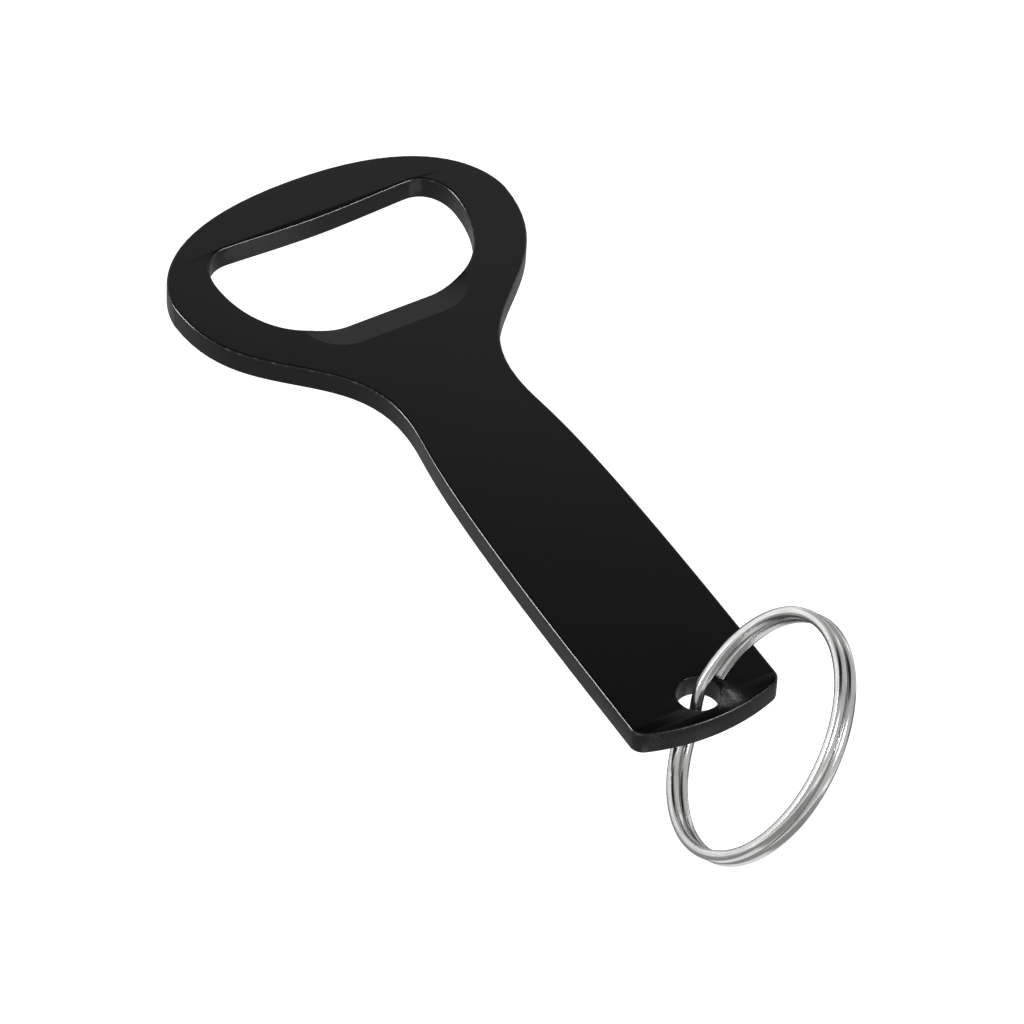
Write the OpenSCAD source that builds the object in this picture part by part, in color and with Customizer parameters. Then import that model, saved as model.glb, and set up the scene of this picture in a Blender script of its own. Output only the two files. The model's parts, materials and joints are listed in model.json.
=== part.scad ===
// Keychain bottle opener: one flat coated plate and a two-turn split ring.
// Millimetres. +Z is up out of the top face and +Y runs from the ring hole
// towards the head. The origin lies on the underside of the handle.

/* [Plate] */
// Overall length, from the handle's end to the top of the head
plate_l = 99.0; // [82:0.1:120]
// Sheet thickness
plate_t = 3.0; // [2.2:0.1:3.8]
// Width of the head at its widest
head_w = 45.1; // [37:0.1:54]
// Distance from the top of the head down to its widest line
head_rise = 13.1; // [10.5:0.1:16]
// Width of the neck at its narrowest
neck_w = 15.0; // [12:0.1:18]
// Distance from the top of the head down to the neck
neck_down = 41.7; // [38:0.1:46]
// Width of the handle at its widest
grip_w = 19.0; // [15.5:0.1:23]
// Distance from the handle's end up to its widest line
grip_up = 11.0; // [8:0.1:16]
// Radius of the handle's two end corners
corner_r = 1.7; // [1:0.1:3]
// Height of the shallow bow across the handle's end
end_bow = 1.85; // [0.8:0.05:3]

/* [Cap opening] */
// Width of the opening at its widest
open_w = 32.6; // [27:0.1:36]
// Opening from the lifting lip to the middle of the far edge
open_gap = 17.2; // [14:0.1:20]
// Metal left between the opening and the top of the head
open_rim = 7.3; // [5.5:0.1:9]
// How far the middle of the far edge swells into the opening
far_swell = 0.5; // [0:0.05:1]
// Radius of the turn at the opening's two far corners
far_turn = 4.0; // [2.5:0.1:5]
// Straight length of the near edge
near_flat = 11.6; // [6:0.1:13]

/* [Lifting lip] */
// Width of the ramp milled into the top face
lip_w = 22; // [18:0.1:24]
// Length of the ramp, measured back from the opening
lip_run = 3.7; // [2.5:0.1:4.5]
// Depth of the ramp where it meets the opening
lip_drop = 0.8; // [0.4:0.05:1.2]
// Radius of the ramp's two rounded ends
lip_end = 5.5; // [4.8:0.1:7]

/* [Ring hole] */
// Room left in the hole, past the wire and the plate's thickness
hole_play = 0.82; // [0.78:0.02:1.8]
// Metal between the hole's rim and the handle's end
hole_wall = 1.55; // [1.2:0.05:2.5]

/* [Split ring] */
// Outside diameter of the ring
ring_od = 30; // [25:0.1:36]
// Size of the wire along the ring's axis, for one turn
wire_w = 1.25; // [1:0.05:1.4]
// Size of the wire across the band, from the inside to the outside
wire_h = 1.28; // [1:0.02:1.5]
// Radius of the wire's rounded corners
wire_r = 0.4; // [0.1:0.02:0.45]
// Fine gap between the two turns
turn_gap = 0.05; // [0.03:0.01:0.1]
// Half angle of the step-over from one turn to the other
step_half = 13; // [9:0.5:14]
// Where the step-over's middle lies, as an angle from the ring hole
step_at = -2; // [-3:0.5:0]
// Gap between each cut end and the plate's face
tip_gap = 0.26; // [0.1:0.02:1]
// Turn of the ring about the hole, seen from above
ring_turn = -22.9; // [-60:0.1:60]
// Lean of the ring away from upright
ring_lean = 35.9; // [0:0.1:38]
// Where around the ring the plate sits, from the ring's level line
ring_slide = -35.3; // [-38:0.1:0]

/* [Placement] */
// Distance from the ring hole to the origin
origin_y = 40; // [30:1:45]

/* [Hidden] */
$fn = 96;

curve_n = 20;          // steps in one outline curve
corner_n = 8;          // steps round one corner
end_n = 10;            // steps along half of the end bow
turn_n = 72;           // steps along one turn of the ring
step_n = 10;           // steps along the step-over
section_n = 3;         // steps round one corner of the wire
over = 1;              // how far a cut runs past a face

hole_d = wire_h + plate_t + hole_play;
hole_edge = hole_d / 2 + hole_wall;
top_y = plate_l - hole_edge;
end_y = -hole_edge;
head_y = top_y - head_rise;
neck_y = top_y - neck_down;
grip_y = end_y + grip_up;
far_y = top_y - open_rim;
near_y = far_y - open_gap;
band_r = (ring_od - wire_h) / 2;
turn_z = (wire_w + turn_gap) / 2;

// The cut ends stop just above and just below the plate: each is where the wire's
// nearest corner, on the leaning ring, comes within the gap of the plate's face
tip_rise = (plate_t / 2 + tip_gap) / cos(ring_lean) + (turn_z + wire_w / 2) * tan(ring_lean);
hole_drop = band_r * sin(-ring_slide);
tip_above = asin((tip_rise - hole_drop) / (ring_od / 2)) - ring_slide;
tip_below = asin((tip_rise + hole_drop) / (ring_od / 2 - wire_h)) + ring_slide;

// A cubic curve from a to d, with b and c as its handles
function curve(a, b, c, d, n = curve_n) = [
    for (i = [0 : n])
        let (t = i / n, s = 1 - t)
        s * s * s * a + 3 * s * s * t * b + 3 * s * t * t * c + t * t * t * d
];

// Points on an arc about a centre
function arc(centre, r, from, to, n) = [
    for (i = [0 : n])
        let (a = from + (to - from) * i / n)
        centre + r * [cos(a), sin(a)]
];

// A list without its first point, to join two curves
function rest(p) = [for (i = [1 : len(p) - 1]) p[i]];

// A half outline on +X closed by its mirror image
function mirrored(p) = concat(p, [for (i = [len(p) - 2 : -1 : 1]) [-p[i][0], p[i][1]]]);

// Right half of the plate, from the top of the head round to the end
function head_curve() = curve(
    [0, top_y],
    [head_w * 0.49, top_y],
    [head_w / 2, head_y + head_rise * 0.06],
    [head_w / 2, head_y]);

function shoulder_curve() = curve(
    [head_w / 2, head_y],
    [head_w / 2, head_y - (head_y - neck_y) * 0.54],
    [neck_w / 2, neck_y + (head_y - neck_y) * 0.48],
    [neck_w / 2, neck_y],
    curve_n * 2);

function flank_curve() = curve(
    [neck_w / 2, neck_y],
    [neck_w / 2, neck_y - (neck_y - grip_y) * 0.14],
    [grip_w / 2, grip_y + (neck_y - grip_y) * 0.90],
    [grip_w / 2, grip_y]);

// The end is a shallow bow that runs into two rounded corners
bow_r = (grip_w * grip_w / 4 + end_bow * end_bow) / (2 * end_bow);
bow_y = end_y + bow_r;
corner_x = grip_w / 2 - corner_r;
corner_y = bow_y - sqrt(pow(bow_r - corner_r, 2) - corner_x * corner_x);
corner_a = atan2(corner_y - bow_y, corner_x);

function plate_half() = concat(
    head_curve(),
    rest(shoulder_curve()),
    rest(flank_curve()),
    arc([corner_x, corner_y], corner_r, 0, corner_a, corner_n),
    rest(arc([0, bow_y], bow_r, corner_a, -90, end_n)));

// Right half of the cap opening, from the lip round to the far edge
wide_y = far_y - open_gap * 0.26;
far_x = open_w / 2 - far_turn;
turn_y = far_y + far_swell;

function opening_half() = concat(
    [[0, near_y]],
    curve(
        [near_flat / 2, near_y],
        [near_flat / 2 + (open_w - near_flat) * 0.31, near_y],
        [open_w / 2, near_y + (wide_y - near_y) * 0.44],
        [open_w / 2, wide_y]),
    rest(curve(
        [open_w / 2, wide_y],
        [open_w / 2, wide_y + (turn_y - wide_y) * 0.36],
        [far_x + far_turn * 0.80, turn_y],
        [far_x, turn_y],
        corner_n * 2)),
    rest(curve(
        [far_x, turn_y],
        [far_x * 0.88, turn_y],
        [far_x * 0.34, far_y],
        [0, far_y])));

// The lip is one long countersink: a wedge with half a cone at each end
lip_y = near_y - lip_run;
lip_slope = lip_drop / lip_run;
lip_deep = (lip_end + over) * lip_slope;
lip_half = lip_w / 2 - lip_end;

module lip_ramp() {
    wide = lip_end + over;
    translate([0, lip_y + lip_end, plate_t - lip_end * lip_slope]) {
        rotate([90, 0, 90])
            translate([0, 0, -lip_half])
            linear_extrude(2 * lip_half)
            polygon([[0, 0], [wide, lip_deep], [-wide, lip_deep]]);
        for (side = [0, 180])
            rotate([0, 0, side])
            translate([lip_half, 0, 0])
            rotate([0, 0, -90])
            rotate_extrude(angle = 180)
            polygon([[0, 0], [wide, lip_deep], [0, lip_deep]]);
    }
}

// Section of the wire, centred on the point given
function wire_section(centre) =
    let (x = wire_h / 2 - wire_r, y = wire_w / 2 - wire_r)
    concat(
        arc(centre + [x, y], wire_r, 0, 90, section_n),
        arc(centre + [-x, y], wire_r, 90, 180, section_n),
        arc(centre + [-x, -y], wire_r, 180, 270, section_n),
        arc(centre + [x, -y], wire_r, 270, 360, section_n));

// Equal steps from one angle to another, without the last
function steps(from, to, n) = [for (i = [0 : n - 1]) from + (to - from) * i / n];

// Height of the wire above the ring's middle plane at an angle along it
function wire_z(a) =
    let (t = (a - 360 - step_at + step_half) / (2 * step_half))
    turn_z * cos(180 * min(max(t, 0), 1));

// The wire from cut end to cut end: a turn, the step-over and the other turn
module coiled_wire() {
    angles = concat(
        steps(tip_above, 360 + step_at - step_half, turn_n),
        steps(360 + step_at - step_half, 360 + step_at + step_half, step_n),
        steps(360 + step_at + step_half, 720 - tip_below, turn_n),
        [720 - tip_below]);
    rows = [
        for (a = angles)
            [for (p = wire_section([band_r, wire_z(a)])) [p[0] * cos(a), p[0] * sin(a), p[1]]]
    ];
    m = len(rows[0]);
    last_row = len(rows) - 1;
    sides = [
        for (i = [0 : last_row - 1])
            for (k = [0 : m - 1])
                let (a = i * m + k, b = i * m + (k + 1) % m)
                each [[a, b, a + m], [b, b + m, a + m]]
    ];
    first_end = [[for (k = [m - 1 : -1 : 0]) k]];
    last_end = [[for (k = [0 : m - 1]) last_row * m + k]];
    polyhedron(points = [for (row = rows) each row], faces = concat(sides, first_end, last_end));
}

module opener_plate() {
    color([0.05, 0.05, 0.055])
        translate([0, -origin_y, 0])
        difference() {
            linear_extrude(plate_t)
                polygon(mirrored(plate_half()));
            translate([0, 0, -over])
                linear_extrude(plate_t + 2 * over)
                polygon(mirrored(opening_half()));
            translate([0, 0, -over])
                cylinder(d = hole_d, h = plate_t + 2 * over);
            lip_ramp();
        }
}

module split_ring() {
    color([0.75, 0.75, 0.77])
        translate([0, -origin_y, plate_t / 2])
        rotate([0, ring_lean, ring_turn])
        rotate([90, 0, 90])
        rotate([0, 0, ring_slide])
        translate([-band_r, 0, 0])
        coiled_wire();
}

opener_plate();
split_ring();
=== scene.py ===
"""Keychain bottle opener: a black coated plate and its two-turn split ring."""

import json
import math

import bmesh
import bpy
from bpy.props import FloatProperty, FloatVectorProperty, PointerProperty
from mathutils import Euler, Matrix, Vector


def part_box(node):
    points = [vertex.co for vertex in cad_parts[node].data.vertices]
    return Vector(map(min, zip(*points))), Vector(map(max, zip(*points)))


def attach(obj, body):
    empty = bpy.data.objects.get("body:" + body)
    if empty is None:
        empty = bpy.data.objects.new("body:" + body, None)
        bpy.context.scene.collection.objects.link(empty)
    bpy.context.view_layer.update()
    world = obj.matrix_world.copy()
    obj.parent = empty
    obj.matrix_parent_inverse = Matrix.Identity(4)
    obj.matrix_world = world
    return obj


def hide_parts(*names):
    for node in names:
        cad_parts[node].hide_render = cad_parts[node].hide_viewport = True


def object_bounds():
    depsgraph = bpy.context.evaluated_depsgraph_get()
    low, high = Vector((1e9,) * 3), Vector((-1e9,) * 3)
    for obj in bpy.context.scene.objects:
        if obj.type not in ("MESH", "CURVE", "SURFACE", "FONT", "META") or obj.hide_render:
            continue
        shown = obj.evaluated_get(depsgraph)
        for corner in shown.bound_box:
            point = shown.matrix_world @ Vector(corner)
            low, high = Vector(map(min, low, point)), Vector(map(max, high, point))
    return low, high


bl_info = {
    "name": "Keychain Bottle Opener",
    "version": (1, 0, 0),
    "blender": (4, 5, 0),
    "location": "View3D > Sidebar > Opener",
    "description": "Builds a coated bottle opener plate, its split ring and a small studio",
    "category": "Add Mesh",
}

MM = 0.001
WIRE_STEPS = 480            # steps along the two turns of wire
BAND_SLACK = 0.014 * MM     # keeps the smooth ring inside the box of the faceted one

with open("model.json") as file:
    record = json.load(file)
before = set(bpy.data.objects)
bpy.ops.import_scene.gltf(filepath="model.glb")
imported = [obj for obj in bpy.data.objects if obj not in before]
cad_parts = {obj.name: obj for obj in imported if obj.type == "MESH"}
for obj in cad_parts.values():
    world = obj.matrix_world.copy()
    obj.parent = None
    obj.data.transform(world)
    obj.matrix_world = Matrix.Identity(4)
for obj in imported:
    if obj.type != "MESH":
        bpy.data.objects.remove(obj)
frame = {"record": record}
CAD_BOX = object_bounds()
PLATE_LOW, PLATE_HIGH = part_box("opener_plate")
HOLE = Vector(frame["record"]["behaviour"]["joints"][0]["pos_m"])


# ---------------------------------------------------------------- sizes and colours

class OpenerPlateSizes(bpy.types.PropertyGroup):
    """Sizes of the coated plate. Its length, width and thickness come from the frame."""

    head_rise: FloatProperty(
        name="Head Rise", description="Top of the head down to its widest line",
        default=13.1 * MM, unit="LENGTH")
    neck_width: FloatProperty(
        name="Neck Width", description="Width of the neck at its narrowest",
        default=15.0 * MM, unit="LENGTH")
    neck_down: FloatProperty(
        name="Neck Down", description="Top of the head down to the neck",
        default=41.7 * MM, unit="LENGTH")
    grip_width: FloatProperty(
        name="Grip Width", description="Width of the handle at its widest",
        default=19.0 * MM, unit="LENGTH")
    grip_up: FloatProperty(
        name="Grip Up", description="Handle's end up to its widest line",
        default=11.0 * MM, unit="LENGTH")
    corner_radius: FloatProperty(
        name="Corner Radius", description="Radius of the handle's end corners",
        default=1.7 * MM, unit="LENGTH")
    end_bow: FloatProperty(
        name="End Bow", description="Height of the bow across the handle's end",
        default=1.85 * MM, unit="LENGTH")
    open_width: FloatProperty(
        name="Opening Width", description="Cap opening at its widest",
        default=32.6 * MM, unit="LENGTH")
    open_gap: FloatProperty(
        name="Opening Gap", description="Cap opening from the lip to the far edge",
        default=17.2 * MM, unit="LENGTH")
    open_rim: FloatProperty(
        name="Opening Rim", description="Metal between the opening and the top of the head",
        default=7.3 * MM, unit="LENGTH")
    far_swell: FloatProperty(
        name="Far Swell", description="How far the far edge swells into the opening",
        default=0.5 * MM, unit="LENGTH")
    far_turn: FloatProperty(
        name="Far Turn", description="Radius of the opening's far corners",
        default=4.0 * MM, unit="LENGTH")
    near_flat: FloatProperty(
        name="Near Flat", description="Straight length of the near edge",
        default=11.6 * MM, unit="LENGTH")
    lip_width: FloatProperty(
        name="Lip Width", description="Width of the milled ramp",
        default=22.0 * MM, unit="LENGTH")
    lip_run: FloatProperty(
        name="Lip Run", description="Length of the milled ramp",
        default=3.7 * MM, unit="LENGTH")
    lip_drop: FloatProperty(
        name="Lip Drop", description="Depth of the ramp at the opening",
        default=0.8 * MM, unit="LENGTH")
    lip_end: FloatProperty(
        name="Lip End", description="Radius of the ramp's two rounded ends",
        default=5.5 * MM, unit="LENGTH")
    hole_diameter: FloatProperty(
        name="Hole Diameter", description="Diameter of the ring hole",
        default=5.1 * MM, unit="LENGTH")
    top_round: FloatProperty(
        name="Top Round", description="Radius of the top edges, rolled over by the punch",
        default=0.34 * MM, unit="LENGTH")
    bottom_round: FloatProperty(
        name="Bottom Round", description="Radius of the bottom edges",
        default=0.12 * MM, unit="LENGTH")
    hole_round: FloatProperty(
        name="Hole Round", description="Radius of the ring hole's rims",
        default=0.2 * MM, unit="LENGTH")
    coat_colour: FloatVectorProperty(
        name="Coat Colour", description="Colour of the black coat",
        default=(0.0016, 0.0016, 0.0020), subtype="COLOR", size=3, min=0.0, max=1.0)
    coat_roughness: FloatProperty(
        name="Coat Roughness", description="Roughness of the coat on the flat faces",
        default=0.20, min=0.0, max=1.0, subtype="FACTOR")


class SplitRingSizes(bpy.types.PropertyGroup):
    """Sizes of the split ring and the way it sits in the hole."""

    outside: FloatProperty(
        name="Outside Diameter", description="Outside diameter of the ring",
        default=30.0 * MM, unit="LENGTH")
    wire_width: FloatProperty(
        name="Wire Width", description="Wire size along the ring's axis",
        default=1.25 * MM, unit="LENGTH")
    wire_height: FloatProperty(
        name="Wire Height", description="Wire size from the inside to the outside of the ring",
        default=1.28 * MM, unit="LENGTH")
    wire_round: FloatProperty(
        name="Wire Round", description="Radius of the wire's corners",
        default=0.40 * MM, unit="LENGTH")
    turn_gap: FloatProperty(
        name="Turn Gap", description="Fine gap between the two turns",
        default=0.05 * MM, unit="LENGTH")
    step_half: FloatProperty(
        name="Step Half Angle", description="Half angle of the step-over between the turns",
        default=math.radians(13.0), subtype="ANGLE")
    step_at: FloatProperty(
        name="Step At", description="Angle from the ring hole to the step-over's middle",
        default=math.radians(-2.0), subtype="ANGLE")
    tip_above: FloatProperty(
        name="Tip Above", description="Angle from the ring hole to the cut end above the plate",
        default=math.radians(15.0), subtype="ANGLE")
    tip_below: FloatProperty(
        name="Tip Below", description="Angle from the ring hole to the cut end below the plate",
        default=math.radians(20.8), subtype="ANGLE")
    turned: FloatProperty(
        name="Turned", description="Turn of the ring about the hole, seen from above",
        default=math.radians(-22.9), subtype="ANGLE")
    lean: FloatProperty(
        name="Lean", description="Lean of the ring away from upright",
        default=math.radians(35.9), subtype="ANGLE")
    slide: FloatProperty(
        name="Slide", description="Where around the ring the plate sits",
        default=math.radians(-35.3), subtype="ANGLE")
    metal_colour: FloatVectorProperty(
        name="Metal Colour", description="Colour of the nickel finish",
        default=(0.76, 0.755, 0.745), subtype="COLOR", size=3, min=0.0, max=1.0)


class StudioSizes(bpy.types.PropertyGroup):
    """Floor, lights and camera."""

    floor_drop: FloatProperty(
        name="Floor Drop", description="How far the floor lies below the opener",
        default=0.12, unit="LENGTH")
    floor_colour: FloatVectorProperty(
        name="Floor Colour", description="Colour of the pale floor",
        default=(0.93, 0.93, 0.93), subtype="COLOR", size=3, min=0.0, max=1.0)
    camera_turn: FloatProperty(
        name="Camera Turn", description="Azimuth the camera looks from",
        default=math.radians(-32.49), subtype="ANGLE")
    camera_rise: FloatProperty(
        name="Camera Rise", description="Elevation the camera looks from",
        default=math.radians(45.79), subtype="ANGLE")
    camera_roll: FloatProperty(
        name="Camera Roll", description="Roll of the camera about its line of sight",
        default=math.radians(3.2), subtype="ANGLE")
    camera_distance: FloatProperty(
        name="Camera Distance", description="Distance from the camera to its aim",
        default=0.8029, unit="LENGTH")
    camera_lens: FloatProperty(
        name="Camera Lens", description="Focal length in millimetres",
        default=251.8, min=1.0)
    camera_aim: FloatVectorProperty(
        name="Camera Aim", description="Point the camera looks at",
        default=(-0.01121, -0.01660, 0.01634), subtype="TRANSLATION", size=3)


# ---------------------------------------------------------------- modelling helpers

def deselect_all():
    """Leave edit mode and select nothing."""
    if bpy.context.object and bpy.context.object.mode != "OBJECT":
        bpy.ops.object.mode_set(mode="OBJECT")
    bpy.ops.object.select_all(action="DESELECT")


def make_active(obj):
    """Select one object alone and make it the active one."""
    deselect_all()
    obj.select_set(True)
    bpy.context.view_layer.objects.active = obj


def add_outline(name, loops):
    """A flat filled curve from closed loops of (point, handle in, handle out)."""
    deselect_all()
    bpy.ops.curve.primitive_bezier_curve_add(radius=MM, location=(0, 0, 0))
    obj = bpy.context.object
    obj.name = name
    curve = obj.data
    curve.dimensions = "2D"
    curve.fill_mode = "BOTH"
    curve.resolution_u = 24
    while curve.splines:
        curve.splines.remove(curve.splines[0])
    for loop in loops:
        spline = curve.splines.new("BEZIER")
        spline.bezier_points.add(len(loop) - 1)
        spline.use_cyclic_u = True
        for knot, (co, left, right) in zip(spline.bezier_points, loop):
            knot.handle_left_type = knot.handle_right_type = "FREE"
            knot.co = Vector((*co, 0))
            knot.handle_left = Vector((*left, 0))
            knot.handle_right = Vector((*right, 0))
    return obj


def curve_to_mesh(obj):
    """Turn a curve object into a clean mesh object."""
    make_active(obj)
    bpy.ops.object.convert(target="MESH")
    obj = bpy.context.object
    bpy.ops.object.mode_set(mode="EDIT")
    bpy.ops.mesh.select_all(action="SELECT")
    bpy.ops.mesh.remove_doubles(threshold=0.002 * MM)
    bpy.ops.mesh.normals_make_consistent(inside=False)
    bpy.ops.object.mode_set(mode="OBJECT")
    return obj


def half_to_loop(segments):
    """A closed loop from the right half's curves, mirrored to the left.

    Each segment is (start, handle, handle, end), from the axis round to the axis."""
    flip = lambda p: (-p[0], p[1])
    left = [tuple(flip(p) for p in reversed(seg)) for seg in reversed(segments)]
    chain = list(segments) + left
    loop = []
    for k, seg in enumerate(chain):
        before = chain[k - 1]
        loop.append((seg[0], before[2], seg[1]))
    return loop


def straight(a, b):
    """A straight piece of outline, written as a curve."""
    third = lambda t: (a[0] + (b[0] - a[0]) * t, a[1] + (b[1] - a[1]) * t)
    return (a, third(1 / 3), third(2 / 3), b)


def round_arc(cx, cy, r, start, end):
    """One curve along an arc of under a quarter turn or so."""
    k = 4 / 3 * math.tan((end - start) / 4) * r
    a = (cx + r * math.cos(start), cy + r * math.sin(start))
    b = (cx + r * math.cos(end), cy + r * math.sin(end))
    return (
        a,
        (a[0] - k * math.sin(start), a[1] + k * math.cos(start)),
        (b[0] + k * math.sin(end), b[1] - k * math.cos(end)),
        b,
    )


# ---------------------------------------------------------------- materials

def new_material(name):
    """An empty node material with its shader and output."""
    mat = bpy.data.materials.new(name)
    mat.use_nodes = True
    nodes, links = mat.node_tree.nodes, mat.node_tree.links
    nodes.clear()
    out = nodes.new("ShaderNodeOutputMaterial")
    out.location = (900, 0)
    shader = nodes.new("ShaderNodeBsdfPrincipled")
    shader.location = (600, 0)
    links.new(shader.outputs[0], out.inputs[0])
    return mat, nodes, links, shader


def add_noise(nodes, links, vector, scale, detail=3.0, rough=0.5):
    """A noise texture read from a vector."""
    noise = nodes.new("ShaderNodeTexNoise")
    noise.inputs["Scale"].default_value = scale
    noise.inputs["Detail"].default_value = detail
    noise.inputs["Roughness"].default_value = rough
    links.new(vector, noise.inputs["Vector"])
    return noise.outputs[0]


def add_ramp(nodes, links, value, stops, ease="LINEAR"):
    """A map range of one value: stops are (from low, from high, to low, to high)."""
    node = nodes.new("ShaderNodeMapRange")
    node.interpolation_type = ease
    links.new(value, node.inputs[0])
    for socket, number in zip(node.inputs[1:5], stops):
        socket.default_value = number
    return node.outputs[0]


def add_math(nodes, links, kind, a, b):
    """A math node on two values or sockets."""
    node = nodes.new("ShaderNodeMath")
    node.operation = kind
    for socket, given in zip(node.inputs, (a, b)):
        if isinstance(given, (int, float)):
            socket.default_value = given
        else:
            links.new(given, socket)
    return node.outputs[0]


def add_bump(nodes, links, height, strength, distance, normal=None):
    """A bump from a height, on top of another where one is given."""
    bump = nodes.new("ShaderNodeBump")
    bump.inputs["Strength"].default_value = strength
    bump.inputs["Distance"].default_value = distance
    links.new(height, bump.inputs["Height"])
    if normal is not None:
        links.new(normal, bump.inputs["Normal"])
    return bump.outputs[0]


def mix_colour(nodes, links, factor, a, b):
    """A colour mix of two fixed colours by a factor."""
    node = nodes.new("ShaderNodeMix")
    node.data_type = "RGBA"
    links.new(factor, node.inputs[0])
    node.inputs[6].default_value = (*a, 1)
    node.inputs[7].default_value = (*b, 1)
    return node.outputs[2]


def black_coat(sizes):
    """Satin black coat over a punched steel plate: smooth faces, rougher cut walls."""
    mat, nodes, links, shader = new_material("black_coat")
    place = nodes.new("ShaderNodeTexCoord").outputs["Object"]
    facing = nodes.new("ShaderNodeTexCoord").outputs["Normal"]
    split = nodes.new("ShaderNodeSeparateXYZ")
    links.new(facing, split.inputs[0])
    upright = add_math(nodes, links, "ABSOLUTE", split.outputs[2], 0.0)
    wall = add_ramp(nodes, links, upright, (0.15, 0.55, 1.0, 0.0), "SMOOTHSTEP")
    rim = add_math(
        nodes, links, "MULTIPLY",
        add_ramp(nodes, links, upright, (0.75, 0.99, 1.0, 0.0), "SMOOTHSTEP"),
        add_ramp(nodes, links, upright, (0.10, 0.45, 0.0, 1.0), "SMOOTHSTEP"))

    # The cut walls carry the grain of the punch, straight through the sheet
    grain_space = nodes.new("ShaderNodeMapping")
    grain_space.inputs["Scale"].default_value = (1.0, 1.0, 0.12)
    links.new(place, grain_space.inputs["Vector"])
    grain = add_noise(nodes, links, grain_space.outputs[0], 2600.0, 4.0, 0.6)
    peel = add_noise(nodes, links, place, 900.0, 2.0, 0.5)
    wave = add_noise(nodes, links, place, 70.0, 2.0, 0.5)
    speck = add_noise(nodes, links, place, 5200.0, 3.0, 0.7)
    chips = add_noise(nodes, links, place, 1300.0, 5.0, 0.65)

    worn = add_ramp(nodes, links, chips, (0.50, 0.62, 0.0, 1.0), "SMOOTHSTEP")
    worn_rim = add_math(nodes, links, "MULTIPLY", worn, rim)
    coat = tuple(sizes.coat_colour)
    cut = tuple(c * 1.6 for c in coat)
    tone = nodes.new("ShaderNodeMix")
    tone.data_type = "RGBA"
    links.new(add_math(nodes, links, "MULTIPLY", wall, grain), tone.inputs[0])
    links.new(
        mix_colour(nodes, links, add_ramp(nodes, links, speck, (0.35, 0.75, 0.0, 1.0)),
                   coat, tuple(c * 1.5 for c in coat)),
        tone.inputs[6])
    tone.inputs[7].default_value = (*cut, 1)
    bare = nodes.new("ShaderNodeMix")
    bare.data_type = "RGBA"
    links.new(add_math(nodes, links, "MULTIPLY", worn_rim, 0.35), bare.inputs[0])
    links.new(tone.outputs[2], bare.inputs[6])
    bare.inputs[7].default_value = (0.10, 0.10, 0.10, 1)
    links.new(bare.outputs[2], shader.inputs["Base Color"])

    flat_rough = add_ramp(
        nodes, links, speck, (0.3, 0.7, sizes.coat_roughness - 0.03, sizes.coat_roughness + 0.05))
    wall_rough = add_math(nodes, links, "MULTIPLY", wall, add_ramp(
        nodes, links, grain, (0.3, 0.7, 0.0, 0.07)))
    links.new(add_math(nodes, links, "ADD", flat_rough, wall_rough), shader.inputs["Roughness"])
    shader.inputs["IOR"].default_value = 1.5
    shader.inputs["Specular IOR Level"].default_value = 0.5

    normal = add_bump(nodes, links, wave, 0.25, 0.05 * MM)
    normal = add_bump(nodes, links, peel, 0.18, 0.02 * MM, normal)
    wall_grain = add_math(nodes, links, "MULTIPLY", grain, wall)
    normal = add_bump(nodes, links, wall_grain, 0.35, 0.02 * MM, normal)
    rim_dents = add_math(nodes, links, "MULTIPLY", chips, rim)
    normal = add_bump(nodes, links, rim_dents, 0.7, 0.05 * MM, normal)
    links.new(normal, shader.inputs["Normal"])
    return mat


def nickel_wire(sizes):
    """Bright nickel on drawn steel wire, with fine marks that run along the wire."""
    mat, nodes, links, shader = new_material("nickel_wire")
    along = nodes.new("ShaderNodeAttribute")
    along.attribute_name = "wire_place"
    place = along.outputs["Vector"]
    stretch = nodes.new("ShaderNodeMapping")
    stretch.inputs["Scale"].default_value = (0.03, 1.0, 1.0)
    links.new(place, stretch.inputs["Vector"])
    drawn = add_noise(nodes, links, stretch.outputs[0], 7000.0, 4.0, 0.6)
    broad = add_noise(nodes, links, stretch.outputs[0], 1500.0, 2.0, 0.5)
    cloud = add_noise(nodes, links, place, 220.0, 3.0, 0.6)
    nicks = add_noise(nodes, links, place, 2400.0, 4.0, 0.7)
    metal = tuple(sizes.metal_colour)
    links.new(
        mix_colour(nodes, links, add_ramp(nodes, links, cloud, (0.3, 0.75, 0.0, 1.0)),
                   metal, tuple(c * 0.82 for c in metal)),
        shader.inputs["Base Color"])
    shader.inputs["Metallic"].default_value = 1.0
    rough = add_ramp(nodes, links, drawn, (0.3, 0.7, 0.14, 0.26))
    links.new(rough, shader.inputs["Roughness"])
    normal = add_bump(nodes, links, broad, 0.35, 0.02 * MM)
    normal = add_bump(nodes, links, drawn, 0.30, 0.006 * MM, normal)
    normal = add_bump(
        nodes, links, add_ramp(nodes, links, nicks, (0.66, 0.78, 0.0, -1.0)), 0.12, 0.01 * MM, normal)
    links.new(normal, shader.inputs["Normal"])
    return mat


def pale_floor(sizes):
    """Plain pale floor paper, lit a little from within so that it stays even."""
    mat, nodes, links, shader = new_material("pale_floor")
    shader.inputs["Base Color"].default_value = (*sizes.floor_colour, 1)
    shader.inputs["Roughness"].default_value = 0.9
    shader.inputs["Emission Color"].default_value = (1, 1, 1, 1)
    shader.inputs["Emission Strength"].default_value = 1.0
    return mat


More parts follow.
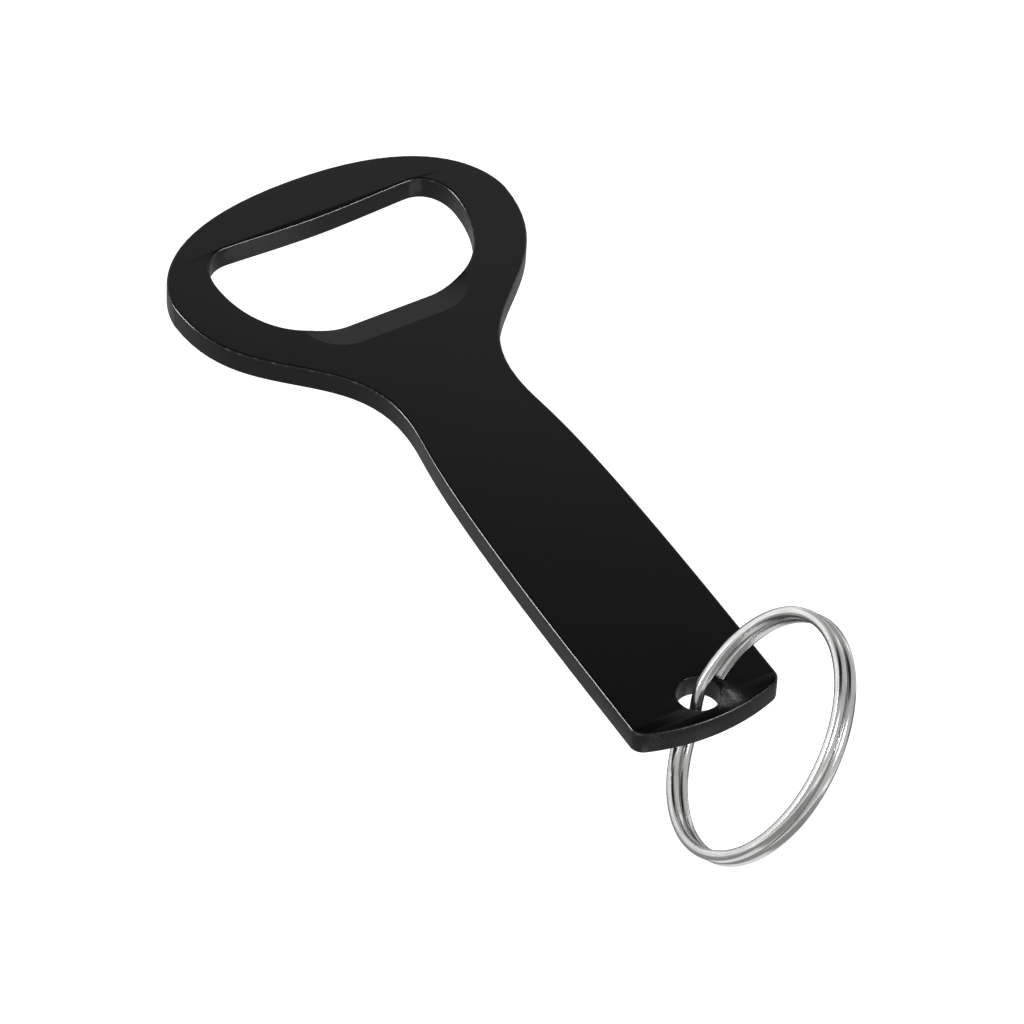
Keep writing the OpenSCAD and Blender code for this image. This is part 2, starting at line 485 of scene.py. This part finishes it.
def glow_card(name, near, far, reach):
    """A studio card that glows evenly, or from one end to the other over a reach."""
    mat, nodes, links, shader = new_material(name)
    place = nodes.new("ShaderNodeTexCoord").outputs["Object"]
    split = nodes.new("ShaderNodeSeparateXYZ")
    links.new(place, split.inputs[0])
    shader.inputs["Base Color"].default_value = (0.01, 0.01, 0.01, 1)
    shader.inputs["Roughness"].default_value = 1.0
    shader.inputs["Specular IOR Level"].default_value = 0.0
    shader.inputs["Emission Color"].default_value = (1, 1, 1, 1)
    links.new(
        add_ramp(nodes, links, split.outputs[1], (-reach, reach, near, far)),
        shader.inputs["Emission Strength"])
    return mat


# ---------------------------------------------------------------- pieces

class OBJECT_OT_opener_plate(bpy.types.Operator):
    """Build the coated opener plate with its cap opening, lifting lip and ring hole"""

    bl_idname = "opener.build_plate"
    bl_label = "Opener Plate"
    bl_options = {"REGISTER", "UNDO"}

    def outline(self, s):
        """Right half of the plate's edge, from the top of the head to the handle's end."""
        top, end = PLATE_HIGH.y, PLATE_LOW.y
        head = PLATE_HIGH.x
        neck, grip = s.neck_width / 2, s.grip_width / 2
        head_y, neck_y, grip_y = top - s.head_rise, top - s.neck_down, end + s.grip_up
        bow_r = (grip * grip + s.end_bow ** 2) / (2 * s.end_bow)
        bow_y = end + bow_r
        corner_x = grip - s.corner_radius
        corner_y = bow_y - math.sqrt((bow_r - s.corner_radius) ** 2 - corner_x ** 2)
        corner_a = math.atan2(corner_y - bow_y, corner_x)
        return [
            ((0, top), (head * 0.98, top), (head, head_y + s.head_rise * 0.06), (head, head_y)),
            ((head, head_y), (head, head_y - (head_y - neck_y) * 0.54),
             (neck, neck_y + (head_y - neck_y) * 0.48), (neck, neck_y)),
            ((neck, neck_y), (neck, neck_y - (neck_y - grip_y) * 0.14),
             (grip, grip_y + (neck_y - grip_y) * 0.90), (grip, grip_y)),
            straight((grip, grip_y), (grip, corner_y)),
            round_arc(corner_x, corner_y, s.corner_radius, 0, corner_a),
            round_arc(0, bow_y, bow_r, corner_a, -math.pi / 2),
        ]

    def opening(self, s):
        """Right half of the cap opening, from the lip round to the far edge."""
        far = PLATE_HIGH.y - s.open_rim
        near = far - s.open_gap
        wide = far - s.open_gap * 0.26
        w, flat = s.open_width / 2, s.near_flat / 2
        far_x = w - s.far_turn
        turn = far + s.far_swell
        half = [
            straight((0, near), (flat, near)),
            ((flat, near), (flat + (w - flat) * 0.62, near),
             (w, near + (wide - near) * 0.44), (w, wide)),
            ((w, wide), (w, wide + (turn - wide) * 0.36),
             (far_x + s.far_turn * 0.80, turn), (far_x, turn)),
            ((far_x, turn), (far_x * 0.88, turn), (far_x * 0.34, far), (0, far)),
        ]
        return half, near

    def half_slab(self, loops, rounding, top):
        """The upper or the lower half of the plate, with its edges rounded."""
        thick = PLATE_HIGH.z - PLATE_LOW.z
        obj = add_outline("plate_half", loops)
        obj.data.bevel_depth = rounding
        obj.data.bevel_resolution = 3
        obj.data.extrude = thick / 2 - rounding
        obj.data.offset = -rounding
        obj = curve_to_mesh(obj)
        bpy.ops.object.mode_set(mode="EDIT")
        bpy.ops.mesh.select_all(action="SELECT")
        bpy.ops.mesh.bisect(
            plane_co=(0, 0, 0), plane_no=(0, 0, 1 if top else -1), clear_inner=True)
        bpy.ops.object.mode_set(mode="OBJECT")
        return obj

    def lip_cutter(self, s, near):
        """The solid that mills the ramp: a wedge with half a cone at each end."""
        slope = s.lip_drop / s.lip_run
        wide = s.lip_end + MM
        deep = wide * slope
        centre = near - s.lip_run + s.lip_end
        middle = PLATE_HIGH.z - s.lip_end * slope + deep / 2
        half = s.lip_width / 2 - s.lip_end
        deselect_all()
        bpy.ops.mesh.primitive_cone_add(
            vertices=160, radius1=0, radius2=wide, depth=deep, location=(half, centre, middle))
        obj = bpy.context.object
        bpy.ops.object.transform_apply(location=True, rotation=True, scale=True)
        bpy.ops.object.mode_set(mode="EDIT")
        bpy.ops.mesh.primitive_cone_add(
            vertices=160, radius1=0, radius2=wide, depth=deep, location=(-half, centre, middle))
        bpy.ops.mesh.select_all(action="SELECT")
        bpy.ops.mesh.convex_hull(join_triangles=True)
        bpy.ops.mesh.select_all(action="SELECT")
        bpy.ops.mesh.normals_make_consistent(inside=False)
        bpy.ops.object.mode_set(mode="OBJECT")
        return obj

    def hole_cutter(self, s):
        """The solid that cuts the ring hole with its rounded rims, spun from its profile."""
        r, b = s.hole_diameter / 2, s.hole_round
        low, high = PLATE_LOW.z, PLATE_HIGH.z
        steps = [math.pi / 2 * k / 4 for k in range(5)]
        profile = [(0.0, high + MM), (r + b, high + MM)]
        profile += [(r + b - b * math.sin(t), high - b + b * math.cos(t)) for t in steps]
        profile += [(r + b - b * math.cos(t), low + b - b * math.sin(t)) for t in steps]
        profile += [(r + b, low - MM), (0.0, low - MM)]
        deselect_all()
        bpy.ops.mesh.primitive_circle_add(vertices=len(profile), radius=MM, location=(0, 0, 0))
        obj = bpy.context.object
        for v, (x, z) in zip(obj.data.vertices, profile):
            v.co = (x, 0, z)
        bpy.ops.object.mode_set(mode="EDIT")
        bpy.ops.mesh.select_all(action="SELECT")
        bpy.ops.mesh.edge_face_add()
        bpy.ops.mesh.select_all(action="SELECT")
        bpy.ops.mesh.delete(type="ONLY_FACE")
        bpy.ops.mesh.select_all(action="SELECT")
        bpy.ops.mesh.spin(steps=96, angle=2 * math.pi, center=(0, 0, 0), axis=(0, 0, 1))
        bpy.ops.mesh.select_all(action="SELECT")
        bpy.ops.mesh.remove_doubles(threshold=0.002 * MM)
        bpy.ops.mesh.select_all(action="SELECT")
        bpy.ops.mesh.dissolve_degenerate(threshold=0.001 * MM)
        bpy.ops.mesh.select_all(action="SELECT")
        bpy.ops.mesh.normals_make_consistent(inside=False)
        bpy.ops.object.mode_set(mode="OBJECT")
        obj.location = (HOLE.x, HOLE.y, 0)
        bpy.ops.object.transform_apply(location=True, rotation=True, scale=True)
        return obj

    def cut_away(self, obj, cutter):
        """Take a cutter's space out of a piece, and throw the cutter away."""
        make_active(obj)
        cut = obj.modifiers.new("cut", "BOOLEAN")
        cut.operation = "DIFFERENCE"
        cut.solver = "EXACT"
        cut.object = cutter
        bpy.ops.object.modifier_apply(modifier=cut.name)
        bpy.data.objects.remove(cutter, do_unlink=True)

    def execute(self, context):
        s = context.scene.opener_plate_sizes
        thick = PLATE_HIGH.z - PLATE_LOW.z
        opening, near = self.opening(s)
        loops = [half_to_loop(self.outline(s)), half_to_loop(opening)]
        obj = self.half_slab(loops, s.top_round, True)
        under = self.half_slab(loops, s.bottom_round, False)
        make_active(obj)
        under.select_set(True)
        bpy.ops.object.join()
        obj.name = "opener_plate_coated"
        bpy.ops.object.mode_set(mode="EDIT")
        bpy.ops.mesh.select_all(action="SELECT")
        bpy.ops.mesh.remove_doubles(threshold=0.004 * MM)
        bpy.ops.mesh.normals_make_consistent(inside=False)
        bpy.ops.object.mode_set(mode="OBJECT")
        obj.location.z = PLATE_LOW.z + thick / 2
        bpy.ops.object.transform_apply(location=True, rotation=True, scale=True)
        self.cut_away(obj, self.lip_cutter(s, near))
        self.cut_away(obj, self.hole_cutter(s))

        make_active(obj)
        bpy.ops.object.shade_smooth_by_angle(angle=math.radians(30))
        self.keep_lip_crisp(obj, s, near)
        even = obj.modifiers.new("even_normals", "WEIGHTED_NORMAL")
        even.keep_sharp = True
        even.weight = 100
        bpy.ops.object.modifier_apply(modifier=even.name)
        obj.data.materials.clear()
        obj.data.materials.append(black_coat(s))
        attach(obj, "plate")
        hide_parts("opener_plate")
        return {"FINISHED"}

    def keep_lip_crisp(self, obj, s, near):
        """Mark the crease where the ramp leaves the top face, so that it isn't smoothed away."""
        mesh = bmesh.new()
        mesh.from_mesh(obj.data)
        top = PLATE_HIGH.z
        low, high = near - s.lip_run - 0.1 * MM, near + s.open_gap / 2
        for edge in mesh.edges:
            flat = all(
                abs(v.co.z - top) < 0.01 * MM and low < v.co.y < high
                and abs(v.co.x) < s.lip_width / 2 + 0.1 * MM
                for v in edge.verts)
            if flat and len(edge.link_faces) == 2 and edge.calc_face_angle(0) > math.radians(6):
                edge.smooth = False
        mesh.to_mesh(obj.data)
        mesh.free()


class OBJECT_OT_split_ring(bpy.types.Operator):
    """Build the split ring from one length of wire wound into two turns"""

    bl_idname = "opener.build_ring"
    bl_label = "Split Ring"
    bl_options = {"REGISTER", "UNDO"}

    def wire_section(self, s):
        """The wire's rounded section, as a flat curve."""
        x, y = s.wire_height / 2 - s.wire_round, s.wire_width / 2 - s.wire_round
        corners = [(x, y, 0), (-x, y, 1), (-x, -y, 2), (x, -y, 3)]
        chain = []
        quarter = math.pi / 2
        arcs = [round_arc(cx, cy, s.wire_round, k * quarter, (k + 1) * quarter)
                for cx, cy, k in corners]
        for k, seg in enumerate(arcs):
            chain.append(seg)
            chain.append(straight(seg[3], arcs[(k + 1) % 4][0]))
        loop = [(seg[0], chain[k - 1][2], seg[1]) for k, seg in enumerate(chain)]
        obj = add_outline("wire_section", [loop])
        obj.data.fill_mode = "NONE"
        obj.data.resolution_u = 4
        return obj

    def wire_rise(self, s, a):
        """Height of the wire over the ring's middle plane at an angle along it."""
        t = (a - 2 * math.pi - s.step_at + s.step_half) / (2 * s.step_half)
        half = (s.wire_width + s.turn_gap) / 2
        return half * math.cos(math.pi * min(max(t, 0.0), 1.0))

    def execute(self, context):
        s = context.scene.split_ring_sizes
        band = (s.outside - s.wire_height) / 2 - BAND_SLACK
        first, last = s.tip_above, 4 * math.pi - s.tip_below
        section = self.wire_section(s)
        deselect_all()
        bpy.ops.curve.primitive_nurbs_path_add(radius=MM, location=(0, 0, 0))
        obj = bpy.context.object
        obj.name = "split_ring_wire"
        curve = obj.data
        curve.dimensions = "3D"
        curve.twist_mode = "Z_UP"
        curve.splines.remove(curve.splines[0])
        spline = curve.splines.new("POLY")
        spline.points.add(WIRE_STEPS)
        for k, point in enumerate(spline.points):
            a = first + (last - first) * k / WIRE_STEPS
            point.co = (band * math.cos(a), band * math.sin(a), self.wire_rise(s, a), 1)
        curve.bevel_mode = "OBJECT"
        curve.bevel_object = section
        curve.use_fill_caps = True
        obj = curve_to_mesh(obj)
        bpy.data.objects.remove(section, do_unlink=True)

        # Where each point lies in the straight wire: along it, across it and through it
        place = obj.data.attributes.new("wire_place", "FLOAT_VECTOR", "POINT")
        for k, v in enumerate(obj.data.vertices):
            a = math.atan2(v.co.y, v.co.x) % (2 * math.pi)
            if a < s.tip_above or a > 2 * math.pi - s.tip_below:
                turns = 1.0 if a < math.pi else 0.0
            else:
                turns = 1.0 if v.co.z < 0 else 0.0
            along = a + turns * 2 * math.pi
            rise = self.wire_rise(s, along)
            r = math.hypot(v.co.x, v.co.y)
            place.data[k].vector = (along * band, r - band, v.co.z - rise)

        # Break the edges of the two cut ends
        make_active(obj)
        soften = obj.modifiers.new("cut_ends", "BEVEL")
        soften.width = 0.12 * MM
        soften.segments = 2
        soften.limit_method = "ANGLE"
        soften.angle_limit = math.radians(60)
        bpy.ops.object.modifier_apply(modifier=soften.name)
        bpy.ops.object.shade_smooth_by_angle(angle=math.radians(50))

        # Stand the ring in the hole
        upright = Matrix(((0, 0, 1), (1, 0, 0), (0, 1, 0))).to_4x4()
        stand = (
            Matrix.Translation(HOLE)
            @ Euler((0, s.lean, s.turned)).to_matrix().to_4x4()
            @ upright
            @ Matrix.Rotation(s.slide, 4, "Z")
            @ Matrix.Translation((-band, 0, 0))
        )
        obj.matrix_world = stand
        bpy.ops.object.transform_apply(location=True, rotation=True, scale=True)
        obj.data.materials.clear()
        obj.data.materials.append(nickel_wire(s))
        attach(obj, "ring")
        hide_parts("split_ring")
        return {"FINISHED"}


class OBJECT_OT_opener_studio(bpy.types.Operator):
    """Build the plain pale floor, the soft lights and the camera"""

    bl_idname = "opener.build_studio"
    bl_label = "Studio"
    bl_options = {"REGISTER", "UNDO"}

    def add_light(self, name, place, aim, size, power):
        """A square soft light that faces a point."""
        deselect_all()
        bpy.ops.object.light_add(type="AREA", location=place)
        lamp = bpy.context.object
        lamp.name = name
        lamp.data.shape = "RECTANGLE"
        lamp.data.size, lamp.data.size_y = size
        lamp.data.energy = power
        lamp.rotation_euler = (Vector(aim) - Vector(place)).to_track_quat("-Z", "Y").to_euler()
        return lamp

    def add_card(self, name, place, aim, size, glow):
        """A card that the pieces reflect and the camera doesn't see."""
        deselect_all()
        bpy.ops.mesh.primitive_plane_add(size=1.0, location=place)
        card = bpy.context.object
        card.name = name
        card.scale = (size[0], size[1], 1)
        card.rotation_euler = (Vector(aim) - Vector(place)).to_track_quat("Z", "Y").to_euler()
        bpy.ops.object.transform_apply(location=False, rotation=False, scale=True)
        card.data.materials.append(glow)
        card.visible_camera = False
        return card

    def execute(self, context):
        s = context.scene.studio_sizes
        low = CAD_BOX[0].z - s.floor_drop
        deselect_all()
        bpy.ops.mesh.primitive_plane_add(size=12.0, location=(0, 0, low))
        floor = bpy.context.object
        floor.name = "studio_floor"
        floor.data.materials.append(pale_floor(s))

        world = bpy.data.worlds.new("studio_air")
        world.use_nodes = True
        air = world.node_tree.nodes["Background"]
        air.inputs[0].default_value = (1, 1, 1, 1)
        air.inputs[1].default_value = 0.55
        context.scene.world = world

        # A dim card over the back keeps the top face black, a grey one below keeps the
        # walls dark, and two lights draw the bright lines along the rolled edges
        centre = (0, 0, 0)
        self.add_card(
            "back_card", (0.17, 0.26, 0.32), centre, (0.75, 0.75),
            glow_card("back_card", 0.42, 0.0, 0.045))
        self.add_card(
            "under_card", (0, 0, low + 0.03), (0, 0, 1), (1.6, 1.6),
            glow_card("under_card", 0.30, 0.30, 1.0))
        self.add_card(
            "ring_card", (0, -0.068, low + 0.04), (0, -0.068, 1), (0.08, 0.08),
            glow_card("ring_card", 0.9, 0.9, 1.0))
        self.add_card(
            "right_card", (0.46, -0.22, -0.05), centre, (0.30, 0.26),
            glow_card("right_card", 0.03, 0.03, 1.0))
        self.add_light("left_edge", (-0.72, 0.59, 0.375), centre, (0.32, 0.32), 9.0)
        self.add_light("front_edge", (0.375, -0.717, 0.588), centre, (0.4, 0.22), 6.0)

        a, e = s.camera_turn, s.camera_rise
        back = Vector((math.sin(a) * math.cos(e), -math.cos(a) * math.cos(e), math.sin(e)))
        aim = Vector(s.camera_aim)
        deselect_all()
        bpy.ops.object.camera_add(location=aim + back * s.camera_distance)
        camera = bpy.context.object
        camera.name = "product_camera"
        camera.rotation_mode = "QUATERNION"
        look = (-back).to_track_quat("-Z", "Y")
        camera.rotation_quaternion = look @ Euler((0, 0, s.camera_roll)).to_quaternion()
        camera.data.lens = s.camera_lens
        camera.data.sensor_width = 36.0
        camera.data.clip_start, camera.data.clip_end = 0.01, 100.0
        context.scene.camera = camera
        context.scene.view_settings.view_transform = "Standard"
        return {"FINISHED"}


class VIEW3D_PT_opener(bpy.types.Panel):
    """Sidebar panel with the sizes and the builders"""

    bl_label = "Bottle Opener"
    bl_space_type = "VIEW_3D"
    bl_region_type = "UI"
    bl_category = "Opener"

    def draw(self, context):
        layout = self.layout
        groups = (
            (context.scene.opener_plate_sizes, OBJECT_OT_opener_plate),
            (context.scene.split_ring_sizes, OBJECT_OT_split_ring),
            (context.scene.studio_sizes, OBJECT_OT_opener_studio),
        )
        for group, builder in groups:
            box = layout.box()
            box.operator(builder.bl_idname)
            for name in group.bl_rna.properties.keys():
                if name not in {"rna_type", "name"}:
                    box.prop(group, name)


CLASSES = (
    OpenerPlateSizes,
    SplitRingSizes,
    StudioSizes,
    OBJECT_OT_opener_plate,
    OBJECT_OT_split_ring,
    OBJECT_OT_opener_studio,
    VIEW3D_PT_opener,
)


def register():
    for cls in CLASSES:
        bpy.utils.register_class(cls)
    bpy.types.Scene.opener_plate_sizes = PointerProperty(type=OpenerPlateSizes)
    bpy.types.Scene.split_ring_sizes = PointerProperty(type=SplitRingSizes)
    bpy.types.Scene.studio_sizes = PointerProperty(type=StudioSizes)


def unregister():
    del bpy.types.Scene.studio_sizes
    del bpy.types.Scene.split_ring_sizes
    del bpy.types.Scene.opener_plate_sizes
    for cls in reversed(CLASSES):
        bpy.utils.unregister_class(cls)


def main():
    register()
    bpy.ops.opener.build_plate()
    bpy.ops.opener.build_ring()
    bpy.ops.opener.build_studio()


if __name__ == "__main__":
    main()
